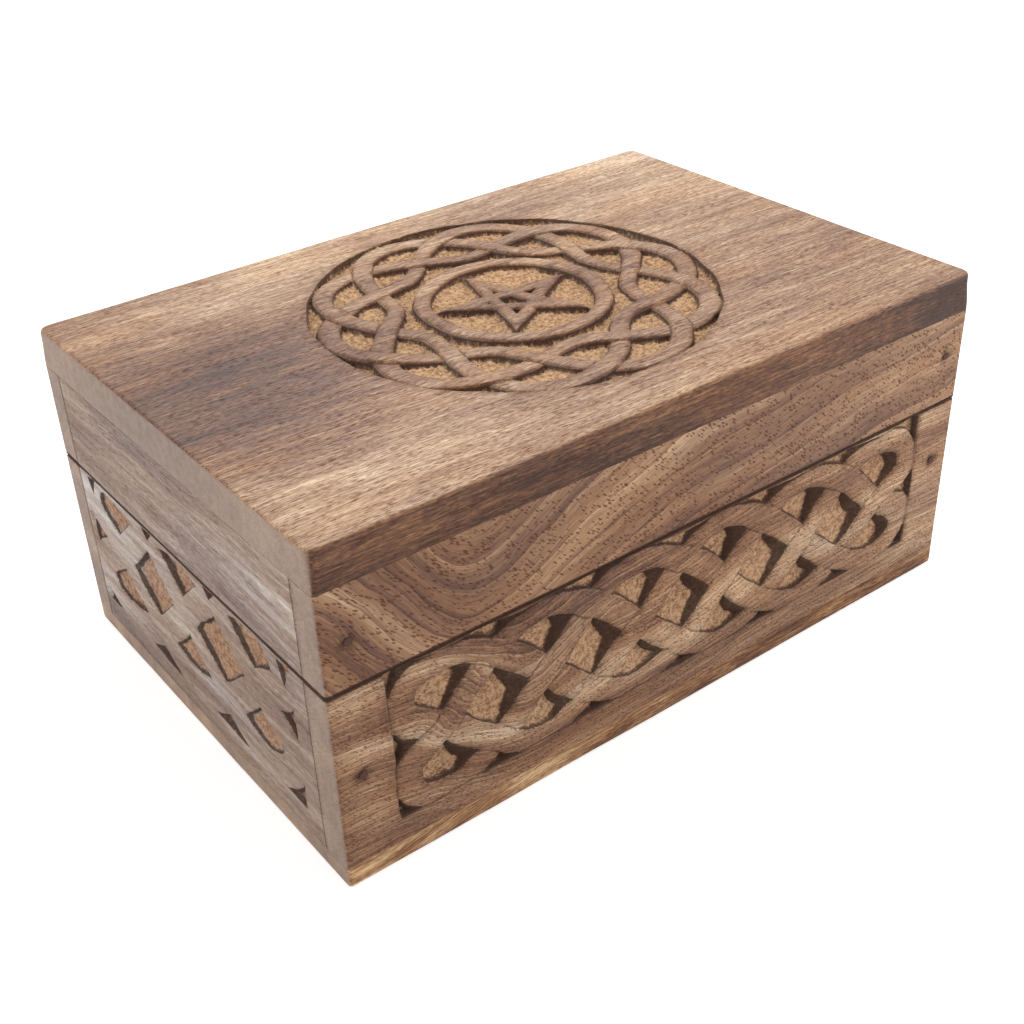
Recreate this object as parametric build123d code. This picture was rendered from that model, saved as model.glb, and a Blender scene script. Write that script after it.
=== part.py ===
from build123d import *
import os
from math import cos, hypot, pi, radians, sin, sqrt, tan

# Carved hardwood dice box with a hinged lid. Millimetres, +Z up, +X along the box, -Y is the front
# and the hinges are at +Y. The origin is at the middle of the underside, hinge barrels included.

# ---- Boards ------------------------------------------------------------------------------------
box_width = 152.0           # outside, along X
box_depth = 101.0           # outside, along Y, over the boards
base_height = 41.2          # ground to the base's rim
lid_height = 27.5           # the lid's rim to its top
seam_gap = 0.3              # between the two rims when the lid is shut
side_board = 6.8            # thickness of the eight upright boards
top_board = 8.0             # thickness of the lid's top
bottom_board = 4.5          # thickness of the base's bottom
corner_radius = 2.0         # upright corners
top_ease = 0.8              # chamfer round the lid's top
rim_ease = 0.5              # chamfer along both rims at the seam
foot_ease = 0.9             # chamfer round the underside

# ---- Hinges ------------------------------------------------------------------------------------
hinge_inset = 19.5          # from the box's ends to the hinges' outer ends
hinge_length = 25.0
leaf_width = 5.2            # from the hinge axis to the leaf's inner edge
leaf_thickness = 0.8
knuckle_radius = 1.6
axis_inset = 0.7            # hinge axis inside the back face
middle_knuckle = 8.6        # length of the lid leaf's knuckle
knuckle_play = 0.2          # end play beside the middle knuckle
hinge_pin_radius = 0.75
running_fit = 0.05          # radial play of the hinge pin in its knuckles
barrel_play = 0.35          # round the barrel, in the boards and in the opposite leaf
opening_stop = 107.0        # degrees at which the bevelled back edges meet

# ---- Screws and nails --------------------------------------------------------------------------
screw_spacing = 16.0
screw_offset = 3.5          # from the hinge axis
screw_head_radius = 1.25
screw_head_height = 0.5
screw_shank_radius = 0.6
screw_length = 6.0
fastener_fit = 0.05         # round every shank and past its end
fastener_sides = 8          # flats round a screw or nail, which is near enough round so small
nail_radius = 0.8
nail_length = 20.0
nail_inset = 5.2            # from the box's ends
base_nail_heights = (23.2, 28.0)    # above the ground, left and right
lid_nail_heights = (9.0, 10.7)      # above the lid's rim, left and right
foot_nail_length = 9.0
foot_nail_sink = 0.2        # its end lies this far inside the underside
foot_nail_inset = 26.0      # from the box's ends to those in the front and back boards

# ---- Plaits carved on the base's four sides ----------------------------------------------------
carve_depth = 1.8
field_foot = 9.7            # ground to the foot of the carved fields
field_head = 0.6            # plain strip between a field and the rim
field_margin = 10.9         # from a field's ends to the board's ends, front and back
end_field_margin = 3.7      # from a field's ends to the end board's ends
strand_width = 5.0
edge_bite = 0.4             # the strands run this far past the field's four sides
crossings_long = 11         # columns of crossings in the plait on the front and back
crossings_short = 5         # columns of crossings in the plait on the ends
plait_chords = 2            # straight cuts to a step of a strand's edge
loop_shape = (              # a loop at a field's end, as shares of its reach and of the swing
    (0.62, 0.86), (0.92, 0.68), (1.0, 0.47), (0.90, 0.27), (0.60, 0.15))
smallest_pocket = 2.0       # square millimetres; smaller scraps of ground are left standing
groove_width = 0.45         # cut along a strand where it passes over another
groove_depth = 0.6

# ---- Round knotwork carved on the lid ----------------------------------------------------------
medallion_offset = (1.4, 0.9)   # from the middle of the lid
medallion_radius = 40.5
medallion_depth = 1.3
bights = 10                 # scallops round the knot
leads = 3                   # turns that its one strand makes
knot_radius = 30.6          # middle line of the strand, on average
knot_swing = 7.4            # the strand swings this far in and out
knot_turn = 27.0            # degrees from +X to a scallop's crown
knot_strand = 3.1
knot_chords = 12            # straight cuts to the strand's edge from one inner turn to the next
ring_inner = 16.0
ring_outer = 19.9
star_radius = 15.6          # points of the star, which run out into the ring
star_turn = 91.0            # degrees from +X to the star's first point
star_strap = 2.2

# ---- Values that follow ------------------------------------------------------------------------
barrel_stand_out = knuckle_radius - axis_inset
box_middle = -barrel_stand_out / 2
front_face = box_middle - box_depth / 2
back_face = box_middle + box_depth / 2
lid_rim = base_height + seam_gap
box_height = lid_rim + lid_height
axis_y = back_face - axis_inset
axis_z = base_height + seam_gap / 2
leaf_edge = knuckle_radius + barrel_play    # a leaf stops here beside the opposite knuckle


# ---- Boards ------------------------------------------------------------------------------------
def slab(low, high):
    """A solid of the box's outline between two heights."""
    outline = Pos(0, box_middle, low) * RectangleRounded(box_width, box_depth, corner_radius)
    return extrude(outline, high - low)


def rim_edges(solid, upper):
    """The edges round a slab's upper or lower face."""
    return solid.faces().sort_by(Axis.Z)[-1 if upper else 0].edges()


def cut_from(solid, x_range, y_range):
    """The part of a solid that lies between two X and two Y values."""
    length, depth = x_range[1] - x_range[0], y_range[1] - y_range[0]
    window = Pos(sum(x_range) / 2, sum(y_range) / 2, 0) * Rectangle(length, depth)
    return solid & extrude(window, box_height)


def frame_boards(solid):
    """Cuts a slab into its front and back boards, at full width, and two end boards between."""
    left, right = -box_width / 2, box_width / 2
    inside_front, inside_back = front_face + side_board, back_face - side_board
    front = cut_from(solid, (left, right), (front_face, inside_front))
    back = cut_from(solid, (left, right), (inside_back, back_face))
    left_end = cut_from(solid, (left, left + side_board), (inside_front, inside_back))
    right_end = cut_from(solid, (right - side_board, right), (inside_front, inside_back))
    return front, back, left_end, right_end


def back_bevel(side):
    """The wedge planed off a back edge at the seam: side is -1 for the base and 1 for the lid."""
    rise = axis_inset * tan(radians(opening_stop / 2))
    rim = axis_z + side * seam_gap / 2
    corners = [(axis_y, rim), (back_face, rim + side * rise), (back_face, rim)]
    wedge = Plane.YZ * make_face(Polyline(*corners, close=True))
    return extrude(wedge, box_width / 2, both=True)


# ---- Carving -----------------------------------------------------------------------------------
def strand(centre, width):
    """A flat strand of even width along the points of its centre line."""
    left, right = [], []
    for index, (x, y) in enumerate(centre):
        before, after = centre[max(index - 1, 0)], centre[min(index + 1, len(centre) - 1)]
        dx, dy = after[0] - before[0], after[1] - before[1]
        scale = width / 2 / hypot(dx, dy)
        left.append((x - dy * scale, y + dx * scale))
        right.append((x + dy * scale, y - dx * scale))
    return make_face(Polyline(*left, *reversed(right), close=True))


def groove(x, y, slope, length, offset):
    """A short narrow cut at an angle, offset sideways from the middle of a crossing."""
    return Pos(x, y) * Rot(Z=slope) * Pos(0, offset) * Rectangle(length, groove_width)


def crossing_grooves(x, y, over, between, width):
    """The two cuts beside the strand that passes over: over is its angle in degrees."""
    length = width / abs(sin(radians(between)))
    offset = (width - groove_width) / 2
    return [groove(x, y, over, length, side * offset) for side in (-1, 1)]


def pockets(field, strands):
    """The ground between the strands of a field, without its smallest scraps."""
    ground = field
    for one in strands:
        ground -= one
    return [face for face in ground.faces() if face.area > smallest_pocket]


def plait_strands(step, crossings, swing):
    """The four strands between the loops, each half a wave from crown to crown over four crossings."""
    strands = []
    for quarter in range(4):
        centre = []
        for sample in range((crossings - 1) * plait_chords + 1):
            index = sample / plait_chords
            place = (index - (crossings - 1) / 2) * step
            centre.append((place, swing * cos(pi / 4 * index + quarter * pi / 2)))
        strands.append(strand(centre, strand_width))
    return strands


def plait_loops(step, crossings, swing):
    """The four loops at a field's ends, each from a crown round to the nearest middle crossing."""
    crown = (crossings - 1) / 2 * step
    reach = step - strand_width / 2 + edge_bite
    lead = step / plait_chords
    high, low = swing * cos(pi / 4 / plait_chords), -swing * sin(pi / 4 / plait_chords)
    loops = []
    for end in (-1, 1):
        for side in (-1, 1):
            shape = [(-lead, high), (0, swing)]
            shape += [(reach * along, swing * up) for along, up in loop_shape]
            shape += [(0, 0), (-lead, low)]
            centre = [(end * (crown + along), side * up) for along, up in shape]
            loops.append(strand(centre, strand_width))
    return loops


def plait_grooves(step, crossings, swing):
    """Grooves at the plait's crossings, where the strands pass over by turns."""
    grooves = []
    steep = swing * pi / 4 / step
    for index in range(crossings):
        x = (index - (crossings - 1) / 2) * step
        if index % 2:
            lean = atan_degrees(steep * sqrt(0.5))
            for side in (-1, 1):
                y = side * swing * sqrt(0.5)
                grooves += crossing_grooves(x, y, -lean, -2 * lean, strand_width)
        else:
            lean = atan_degrees(steep)
            grooves += crossing_grooves(x, 0, lean, -2 * lean, strand_width)
    return grooves


def plait(length, height, crossings):
    """A four-strand plait that fills a field round the origin: its pockets and its grooves."""
    step = length / (crossings + 1)
    swing = (height - strand_width) / 2 + edge_bite
    strands = plait_strands(step, crossings, swing) + plait_loops(step, crossings, swing)
    return pockets(Rectangle(length, height), strands), plait_grooves(step, crossings, swing)


def atan_degrees(slope):
    """The angle of a slope, in degrees."""
    return Vector(1, 0, 0).get_angle(Vector(1, slope, 0))


def cut_carving(board, plane, carving, depth):
    """Cuts a carving's pockets and its shallow grooves into a board's face."""
    ground, grooves = carving
    board -= [extrude(plane * face, -depth) for face in ground]
    return board - [extrude(plane * face, -groove_depth) for face in grooves]


def side_plane(x, y, x_dir, z_dir):
    """The plane of a base side, with its origin at the middle of the carved field."""
    middle = (field_foot + base_height - field_head) / 2
    return Plane(origin=(x, y, middle), x_dir=x_dir, z_dir=z_dir)


def knot_strands():
    """The knot's one strand, cut into equal lengths, each from one inner turn to the next."""
    turn = 2 * pi * leads / bights
    centre = []
    for index in range(-1, knot_chords + 2):
        angle = (index / knot_chords - 0.5) * turn
        radius = knot_radius + knot_swing * cos(angle * bights / leads)
        centre.append((radius * cos(angle), radius * sin(angle)))
    piece = strand(centre, knot_strand)
    return [Rot(Z=knot_turn + 360.0 * index / bights) * piece for index in range(bights)]


def knot_grooves():
    """Grooves at the knot's outer and inner crossings, where strands pass over by turns."""
    pitch = 360.0 / bights
    steep = knot_swing * bights / leads * sin(radians(60))
    grooves = []
    for radius, turn, side in ((knot_radius + knot_swing / 2, pitch / 2, 1),
                               (knot_radius - knot_swing / 2, 0, -1)):
        lean = atan_degrees(steep / radius)
        for index in range(bights):
            place = Rot(Z=knot_turn + turn + index * pitch)
            cuts = crossing_grooves(radius, 0, 90 + side * lean, 2 * lean, knot_strand)
            grooves += [place * cut for cut in cuts]
    return grooves


def star_straps():
    """Five straps between the points of a star, each on the inner side of its outer line."""
    points = [Vector(star_radius, 0).rotate(Axis.Z, star_turn + 72.0 * k) for k in range(5)]
    straps = []
    for k in range(5):
        start, end = points[k], points[(k + 2) % 5]
        along = (end - start).normalized()
        inward = ((start + end) * -0.5).normalized() * star_strap
        back = along * (star_strap / tan(radians(36)))
        corners = [start, end, end + inward - back, start + inward + back]
        straps.append(make_face(Polyline(*corners, close=True)))
    return straps


def star_grooves():
    """One groove at each of the star's five inner corners, where a strap passes over."""
    inner = star_radius * cos(radians(72)) / cos(radians(36))
    grooves = []
    for k in range(5):
        place = Rot(Z=star_turn + 36 + 72.0 * k) * Pos(inner - star_strap / 2, 0)
        grooves.append(place * Rot(Z=72) * Rectangle(star_strap / sin(radians(72)), groove_width))
    return grooves


def medallion():
    """The round knotwork: the ground round the knot, and the ground inside its ring."""
    outer = pockets(Circle(medallion_radius) - Circle(ring_outer), knot_strands())
    inner = pockets(Circle(ring_inner), star_straps())
    return outer + inner, knot_grooves() + star_grooves()


# ---- Hinges and fasteners ----------------------------------------------------------------------
def x_bar(radius, length):
    """A round bar along X round the origin."""
    return Rot(Y=90) * Cylinder(radius, length)


def leaf(side):
    """A hinge leaf round the hinge axis: side is -1 for the base's leaf and 1 for the lid's."""
    outer = (hinge_length - middle_knuckle) / 2 - knuckle_play
    if side > 0:
        spans = [(0, middle_knuckle)]
    else:
        spans = [(end * (hinge_length - outer) / 2, outer) for end in (-1, 1)]
    middle_z = side * (seam_gap + leaf_thickness) / 2
    plate_width = leaf_width - leaf_edge
    plate = Pos(0, -leaf_edge - plate_width / 2, middle_z) * Box(
        hinge_length, plate_width, leaf_thickness)
    for middle, length in spans:
        plate += Pos(middle, -leaf_edge / 2, middle_z) * Box(length, leaf_edge, leaf_thickness)
        plate += Pos(middle, 0, 0) * x_bar(knuckle_radius, length)
    plate -= x_bar(hinge_pin_radius + running_fit, hinge_length)
    face = side * seam_gap / 2
    for x in (-screw_spacing / 2, screw_spacing / 2):
        plate -= place_screw(screw(fastener_fit), x, -screw_offset, face, side)
    return plate


def leaf_recess(side):
    """The room for a leaf and the barrel in a back board, round the hinge axis."""
    length = hinge_length + 2 * fastener_fit
    depth = leaf_width + fastener_fit
    floor = seam_gap / 2 + leaf_thickness
    recess = Pos(0, -depth / 2, side * floor / 2) * Box(length, depth, floor)
    return recess + x_bar(leaf_edge, length)


def shank(radius, length):
    """A slender many-sided bar that hangs down from the origin."""
    return extrude(RegularPolygon(radius, fastener_sides), -length)


def screw(play):
    """A flat-headed screw that points down from the top of its head at the origin."""
    head = shank(screw_head_radius + play, screw_head_height + play)
    return head + shank(screw_shank_radius + play, screw_length + play)


def place_screw(one, x, y, z, side):
    """Puts a screw at a leaf: the base's points down and the lid's points up."""
    return Pos(x, y, z) * (one if side < 0 else Rot(X=180) * one)


def side_nails(back, heights, play):
    """Two nails through a front or back board into the ends of the two end boards."""
    nails = []
    for side, height in zip((-1, 1), heights):
        x = side * (box_width / 2 - nail_inset)
        y, turn = (back_face, -90) if back else (front_face, 90)
        one = shank(nail_radius + play, nail_length + play)
        nails.append(Pos(x, y, height) * Rot(X=turn) * one)
    return nails


def foot_nails(play):
    """Six nails up through the bottom board into the four sides."""
    long_y = (box_depth - side_board) / 2
    short_x = (box_width - side_board) / 2
    long_x = box_width / 2 - foot_nail_inset
    spots = [(x * long_x, y * long_y) for x in (-1, 1) for y in (-1, 1)]
    spots += [(x * short_x, 0) for x in (-1, 1)]
    start = 0 if play else foot_nail_sink
    one = Rot(X=180) * shank(nail_radius + play, foot_nail_length + foot_nail_sink - start + play)
    return [Pos(x, box_middle + y, start) * one for x, y in spots]


# ---- The whole box -----------------------------------------------------------------------------
def hinge_places():
    """The two hinges by name, each with the place of its middle on the hinge axis."""
    x = box_width / 2 - hinge_inset - hinge_length / 2
    return [(name, Pos(side * x, axis_y, axis_z)) for name, side in (("left", -1), ("right", 1))]


def hinge_room(side):
    """All that the hinges take out of one back board: leaf recesses and screw holes."""
    room = []
    for _, place in hinge_places():
        room.append(place * leaf_recess(side))
        for x in (-screw_spacing / 2, screw_spacing / 2):
            hole = place_screw(screw(fastener_fit), x, -screw_offset, side * seam_gap / 2, side)
            room.append(place * hole)
    return room


def base_boards():
    """The base: a nailed frame of four carved boards on a bottom board."""
    bottom = slab(0, bottom_board)
    bottom = chamfer(rim_edges(bottom, False), foot_ease) - foot_nails(fastener_fit)
    sides = slab(bottom_board, base_height)
    sides = chamfer(rim_edges(sides, True), rim_ease)
    front, back, left, right = frame_boards(sides)
    height = base_height - field_head - field_foot
    long_plait = plait(box_width - 2 * field_margin, height, crossings_long)
    short_length = box_depth - 2 * (side_board + end_field_margin)
    short_plait = plait(short_length, height, crossings_short)
    front_plane = side_plane(0, front_face, (1, 0, 0), (0, -1, 0))
    back_plane = side_plane(0, back_face, (-1, 0, 0), (0, 1, 0))
    left_plane = side_plane(-box_width / 2, box_middle, (0, -1, 0), (-1, 0, 0))
    right_plane = side_plane(box_width / 2, box_middle, (0, 1, 0), (1, 0, 0))
    front = cut_carving(front, front_plane, long_plait, carve_depth)
    back = cut_carving(back, back_plane, long_plait, carve_depth)
    left = cut_carving(left, left_plane, short_plait, carve_depth)
    right = cut_carving(right, right_plane, short_plait, carve_depth)
    nails = foot_nails(fastener_fit)
    front_holes = side_nails(False, base_nail_heights, fastener_fit)
    back_holes = side_nails(True, base_nail_heights, fastener_fit)
    back = back - back_bevel(-1) - hinge_room(-1) - back_holes - nails
    ends = front_holes + back_holes + nails
    return {
        "base_bottom_board": bottom,
        "base_front_panel": front - front_holes - nails,
        "base_back_panel": back,
        "base_left_panel": left - ends,
        "base_right_panel": right - ends,
    }


def lid_boards():
    """The lid: a frame of four plain rails under a carved top board."""
    rails = slab(lid_rim, box_height - top_board)
    rails = chamfer(rim_edges(rails, False), rim_ease)
    front, back, left, right = frame_boards(rails)
    top = slab(box_height - top_board, box_height)
    top = chamfer(rim_edges(top, True), top_ease)
    middle = (medallion_offset[0], box_middle + medallion_offset[1], box_height)
    top = cut_carving(top, Plane(origin=middle), medallion(), medallion_depth)
    heights = [lid_rim + height for height in lid_nail_heights]
    front_holes = side_nails(False, heights, fastener_fit)
    back_holes = side_nails(True, heights, fastener_fit)
    return {
        "lid_top_board": top,
        "lid_front_rail": front - front_holes,
        "lid_back_rail": back - back_bevel(1) - hinge_room(1) - back_holes,
        "lid_left_rail": left - front_holes - back_holes,
        "lid_right_rail": right - front_holes - back_holes,
    }


def hinge_parts():
    """Leaves, pins and screws of the two hinges."""
    parts = {}
    for name, place in hinge_places():
        parts[f"hinge_{name}_pin"] = place * x_bar(hinge_pin_radius, hinge_length)
        for body, side in (("base", -1), ("lid", 1)):
            parts[f"hinge_{name}_{body}_leaf"] = place * leaf(side)
            screws = [place_screw(screw(0), x, -screw_offset, side * seam_gap / 2, side)
                      for x in (-screw_spacing / 2, screw_spacing / 2)]
            parts[f"hinge_{name}_{body}_screws"] = [place * one for one in screws]
    return parts


def nail_groups():
    """The nails that hold the two frames and the bottom board, in groups."""
    lid_heights = [lid_rim + height for height in lid_nail_heights]
    return {
        "base_front_nails": side_nails(False, base_nail_heights, 0),
        "base_back_nails": side_nails(True, base_nail_heights, 0),
        "base_bottom_nails": foot_nails(0),
        "lid_front_nails": side_nails(False, lid_heights, 0),
        "lid_back_nails": side_nails(True, lid_heights, 0),
    }


def write(name, shape):
    """Writes one node: its solids in one STEP file."""
    solids = shape if isinstance(shape, list) else [shape]
    solids = [solid for one in solids for solid in one.solids()]
    export_step(solids[0] if len(solids) == 1 else Compound(children=solids), f"parts/{name}.step")


os.makedirs("parts", exist_ok=True)
for node, shape in {**base_boards(), **lid_boards(), **hinge_parts(), **nail_groups()}.items():
    write(node, shape)
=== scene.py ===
import math
from dataclasses import dataclass

import bpy
import numpy as np
from mathutils import Matrix, Vector


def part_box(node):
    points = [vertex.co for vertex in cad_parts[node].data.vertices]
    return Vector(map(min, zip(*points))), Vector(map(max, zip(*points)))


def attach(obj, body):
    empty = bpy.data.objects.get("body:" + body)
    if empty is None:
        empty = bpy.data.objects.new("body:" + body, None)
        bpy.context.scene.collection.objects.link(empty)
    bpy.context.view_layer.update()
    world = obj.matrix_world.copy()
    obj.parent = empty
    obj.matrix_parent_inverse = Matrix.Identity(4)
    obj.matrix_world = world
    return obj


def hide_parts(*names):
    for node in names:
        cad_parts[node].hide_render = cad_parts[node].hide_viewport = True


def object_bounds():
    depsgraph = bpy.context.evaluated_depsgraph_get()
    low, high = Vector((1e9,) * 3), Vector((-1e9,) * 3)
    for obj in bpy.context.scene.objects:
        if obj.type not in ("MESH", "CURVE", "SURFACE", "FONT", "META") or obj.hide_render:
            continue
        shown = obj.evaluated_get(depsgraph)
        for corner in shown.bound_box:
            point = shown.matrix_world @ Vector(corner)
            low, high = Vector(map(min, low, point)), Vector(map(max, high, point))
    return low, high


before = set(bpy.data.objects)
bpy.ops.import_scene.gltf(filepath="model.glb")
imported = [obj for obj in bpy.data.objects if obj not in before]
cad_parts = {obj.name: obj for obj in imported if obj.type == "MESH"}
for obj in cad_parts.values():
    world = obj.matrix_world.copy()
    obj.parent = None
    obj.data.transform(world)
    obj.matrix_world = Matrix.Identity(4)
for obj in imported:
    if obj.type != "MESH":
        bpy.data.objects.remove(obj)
cad_low, cad_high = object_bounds()

# A carved mango-wood dice box with a hinged lid. x runs along the front, y to the back and z up.
# Sizes are in millimetres until a mesh is made, and angles in degrees.
MM = 0.001
FAR = 1e9

# ---- The lattice of points on a board's outward side ----
CELL = 0.27  # spacing over carved ground
COARSE = 1.6  # spacing over plain wood
EASE_STEPS = 5  # lines across an eased edge
FIELD_MARGIN = 1.2  # carved ground's spacing past a field's border
MEDALLION_MARGIN = 1.0  # and past the medallion's
WALL_LINES = (0, 0.15, 0.35, 0.6, 0.9, 1.3, 2.0, 3.2, 5.0)  # down a side board's edges
EDGE_LINES = (0, 0.2, 0.45, 0.75, 1.1)  # down the first of a flat board's edges
LAST_LINE = 0.2  # from a flat board's inner face to the line before it

# ---- Edges, hinges and nails ----
TOP_CORNER = 2.4  # upright corners of the lid's top board
CORNER_RADIUS = 0.9  # the other boards' upright corners
TOP_EASE = 0.7  # rounding round the lid's top
RIM_EASE = 0.6  # rounding along both rims at the seam
FOOT_EASE = 0.6  # rounding round the underside
END_EASE = 0.6  # finer lattice where an end board meets its neighbours
JOINT_EASE = 0.10  # softened edges where two boards meet
AXIS_INSET = 0.7  # hinge axis inside the back face
HALF_GAP = 0.15  # from the hinge axis to each rim
OPENING_STOP = 107.0  # angle at which the bevelled back edges meet
LEAF_ROOM = (12.55, 5.25, 0.8)  # half length, depth from the axis and height of a leaf's recess
BARREL_ROOM = 1.95  # radius of the bore round a hinge's barrel
RIM_STRETCH = 7.0  # the lattice follows a cut in the rim down to here
NAIL_INSET = 5.2  # nails from the box's ends
BASE_NAILS = (23.2, 28.0)  # heights of the base's two nails on a side
LID_NAILS = (50.5, 52.2)
FILLER_RADIUS = 1.3
FILLER_DIP = 0.2  # how far the wood is sunk at a filled nail
FILLER_DEPTH = 1.0  # how deep the filler goes

# ---- The carved sides ----
FIELD_FOOT = 9.7  # ground to the foot of the carved fields
FIELD_HEAD = 40.6  # ground to their head
FRONT_FIELD = 129.6  # length of the fields on the front and back
FRONT_DROP = 0.7  # the plait's middle below the field's
END_FIELD = 80.4  # length of the fields on the ends
END_LIFT = 2.8  # the plait's middle above the field's
END_SHIFT = -1.6  # the left end's carving lies off the middle, toward the back
NOTCHES = ((-36.2, 1.7, 4.0), (-12.0, 2.3, 2.4), (12.8, 2.2, 2.2), (38.2, 1.9, 4.6))
LINE_DEPTH = 0.40  # the field's incised border
LINE_HALF_WIDTH = 0.34
GROOVE_DEPTH = 0.22  # the groove beside a strand where it passes over another
GROOVE_WIDTH = 0.55
TOP_REACH = 0.2  # a strand's top is carried this far past its edge
WALL_BLUR = 5  # rounds of smoothing of the way the walls face

# ---- The lid's medallion ----
MEDALLION = 40.3  # its radius
MEDALLION_DEPTH = 1.4
MEDALLION_OFFSET = (1.4, 0.9)  # its middle, off the lid's
KNOT_RADIUS = 30.6
KNOT_SWING = 7.4  # the knot's strand swings this far in and out
KNOT_TURN = 27.0  # angle of its first outer turn
KNOT_STRAND = 3.8  # the strand's width
BIGHTS = 10  # outer turns
LEADS = 3  # times round
RING = (16.0, 19.5)  # inner and outer radius of the plain ring
STAR_POINTS = ((96.6, 14.4), (163.8, 15.2), (235.0, 15.0), (303.4, 15.3), (11.5, 15.1))
STAR_STRAP = 2.7  # width of the star's straps
STAR_WAVE = 2.1  # a strap goes over and under so many times from point to point
STAR_CROSSINGS = 0.24  # the share of its length, either side of its middle, that does so


# ---- Noise ----
def lattice_random(cells, seed):
    """A fixed random number from 0 to 1 for each integer cell."""
    primes = (73856093, 19349663, 83492791)
    mixed = np.full(cells.shape[:-1], seed * 7919 + 17, np.int64)
    for axis in range(cells.shape[-1]):
        mixed ^= cells[..., axis] * primes[axis]
    mixed &= 0x7FFFFFFF
    mixed = (mixed * 1103515245 + 12345) & 0x7FFFFFFF
    mixed = ((mixed >> 11) ^ mixed) * 69069 & 0x7FFFFFFF
    return mixed / 0x7FFFFFFF


def noise(points, size, seed=0):
    """Smooth noise from -1 to 1 whose lumps are about size across: points is N x 2 or N x 3."""
    scaled = points / size
    base = np.floor(scaled).astype(np.int64)
    part = scaled - base
    part = part * part * (3 - 2 * part)
    total = np.zeros(len(points))
    axes = points.shape[1]
    for corner in range(2 ** axes):
        bits = np.array([(corner >> axis) & 1 for axis in range(axes)])
        weight = np.prod(np.where(bits, part, 1 - part), axis=1)
        total += weight * lattice_random(base + bits, seed)
    return 2 * total - 1


def stray(points, waves, seed):
    """How far a hand's cuts go off line: waves lists the size of each wander and its amount."""
    total = np.zeros((len(points), 2))
    for size, amount in waves:
        total += np.stack([noise(points, size, seed), noise(points, size, seed + 1)], 1) * amount
        seed += 2
    return total


def pits(points, spacing, seed):
    """Distance from each point to the nearest of a scatter of punch marks, one in each cell."""
    cell = np.floor(points / spacing).astype(np.int64)
    nearest = np.full(len(points), FAR)
    for dx in (-1, 0, 1):
        for dy in (-1, 0, 1):
            home = cell + np.array([dx, dy])
            spot = np.stack([lattice_random(home, seed), lattice_random(home, seed + 1)], 1)
            spot = (home + 0.15 + 0.7 * spot) * spacing
            nearest = np.minimum(nearest, np.hypot(*(points - spot).T))
    return nearest


def smoothstep(low, high, value):
    """0 at low and 1 at high, smooth between; low may be the larger."""
    part = np.clip((value - low) / (high - low), 0, 1)
    return part * part * (3 - 2 * part)


# ---- Strands ----
def bezier(corners, count):
    """Points along a cubic curve with these four control points."""
    t = np.linspace(0, 1, count)[:, None]
    start, lead, trail, end = corners
    return ((1 - t) ** 3 * start + 3 * (1 - t) ** 2 * t * lead
            + 3 * (1 - t) * t ** 2 * trail + t ** 3 * end)


def nearest_on_path(points, path, values, reach):
    """Distance to a path, the values carried along it there, and whether it passes alongside."""
    distance = np.full(len(points), FAR)
    carried = np.zeros((len(points), values.shape[1]))
    beside = np.zeros(len(points), bool)
    low, high = path.min(0) - reach, path.max(0) + reach
    near = np.flatnonzero(((points > low) & (points < high)).all(1))
    spots = points[near]
    best, found, flank = distance[near], carried[near], beside[near]
    last = len(path) - 2
    for index in range(last + 1):
        start, step = path[index], path[index + 1] - path[index]
        raw = (spots - start) @ step / (step @ step)
        share = np.clip(raw, 0, 1)
        away = np.hypot(*(spots - start - share[:, None] * step).T)
        better = away < best
        best[better] = away[better]
        found[better] = values[index] + share[better, None] * (values[index + 1] - values[index])
        past = (raw < 0) if index == 0 else (raw > 1) if index == last else np.zeros_like(raw, bool)
        flank[better] = ~past[better]
    distance[near], carried[near], beside[near] = best, found, flank
    return distance, carried, beside


class Relief:
    """The carved surface over a lattice: the strands' tops, and the distance to their edge."""

    def __init__(self, points):
        self.points = points
        self.edge = np.full(len(points), FAR)
        self.top = np.full(len(points), FAR)
        self.groove = np.zeros(len(points))

    def lay(self, inside, share, sink, rounding, crown):
        """Adds a form: inside is the distance past its edge, below 0 within it, and share how far
        out from its middle line a point is, 1 being its edge. Its top lies sink below the board,
        and falls by crown to its edge and over the rounding there."""
        self.edge = np.minimum(self.edge, inside)
        shoulder = np.clip(1 + inside / rounding, 0, 1)
        bow = crown * np.clip(share, 0, 1) ** 2
        depth = sink + rounding * (1 - np.sqrt(1 - shoulder ** 2)) + bow
        self.top = np.where(inside < TOP_REACH, np.minimum(self.top, depth), self.top)

    def lay_strand(self, path, width, lift, sink, rounding, crown):
        """Adds a strand: width and lift, from -1 under to 1 over, are given along its path."""
        values = np.stack([width / 2, lift], 1)
        away, carried, flank = nearest_on_path(self.points, path, values, width.max() + 2)
        half = np.where(away < FAR, carried[:, 0], 1.0)
        inside = away - half
        self.lay(inside, away / half, sink * (1 - carried[:, 1]) / 2, rounding, crown)
        beside = smoothstep(GROOVE_WIDTH, 0.1, inside) * (inside > 0) * flank
        self.groove = np.maximum(self.groove, beside * np.clip(carried[:, 1] * 2 - 0.5, 0, 1))


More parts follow.
